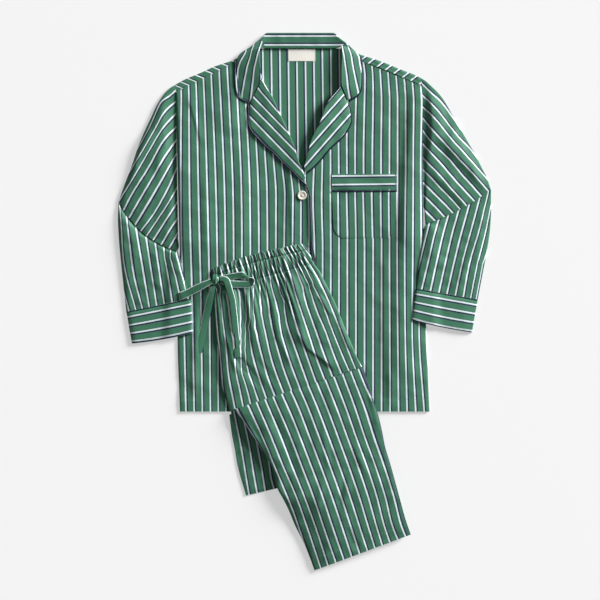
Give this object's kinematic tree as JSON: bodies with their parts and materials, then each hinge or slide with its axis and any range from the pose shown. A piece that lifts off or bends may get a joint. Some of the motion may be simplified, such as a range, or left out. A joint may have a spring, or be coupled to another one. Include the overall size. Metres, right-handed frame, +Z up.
{
  "type": "pyjama set",
  "caption": "Long-sleeved notched-collar pyjama shirt laid flat with its drawstring trousers folded in half, tucked and laid across it, in green striped cotton with navy piping.",
  "frame": {"origin": "centre of the underside of the laid-out set, on the surface that it lies on", "axes": "+X across the sleeves to the side of the chest pocket, +Y towards the collar, +Z up off the surface"},
  "size_m": [0.746, 1.074, 0.0237],
  "materials": {
    "striped_poplin": "woven cotton poplin, matt with a faint sheen",
    "piping": "matt cotton piping",
    "button": "polished, faintly pearly",
    "label": "matt woven ribbon"
  },
  "bodies": {
    "root": {"shirt_back": "striped_poplin", "yoke_left": "striped_poplin", "yoke_right": "striped_poplin", "front_left": "striped_poplin", "front_right": "striped_poplin", "sleeve_left": "striped_poplin", "sleeve_right": "striped_poplin", "cuff_left": "striped_poplin", "cuff_right": "striped_poplin", "collar": "striped_poplin", "lapel_left": "striped_poplin", "lapel_right": "striped_poplin", "pocket": "striped_poplin", "pocket_band": "striped_poplin", "waist_casing": "striped_poplin", "trouser_leg_upper": "striped_poplin", "trouser_tuck": "striped_poplin", "trouser_leg_lower": "striped_poplin", "trouser_layers_upper": "striped_poplin", "trouser_layers_lower": "striped_poplin", "tie_knot": "striped_poplin", "tie_loop_left": "striped_poplin", "tie_loop_right": "striped_poplin", "tie_tail_left": "striped_poplin", "tie_tail_right": "striped_poplin", "piping_collar_left": "piping", "piping_collar_right": "piping", "piping_front_left": "piping", "piping_lapel_right": "piping", "piping_pocket": "piping", "piping_cuff_left": "piping", "piping_cuff_right": "piping", "button_1": "button", "button_2": "button", "button_3": "button", "button_4": "button", "neck_label": "label"}
  },
  "joints": []
}
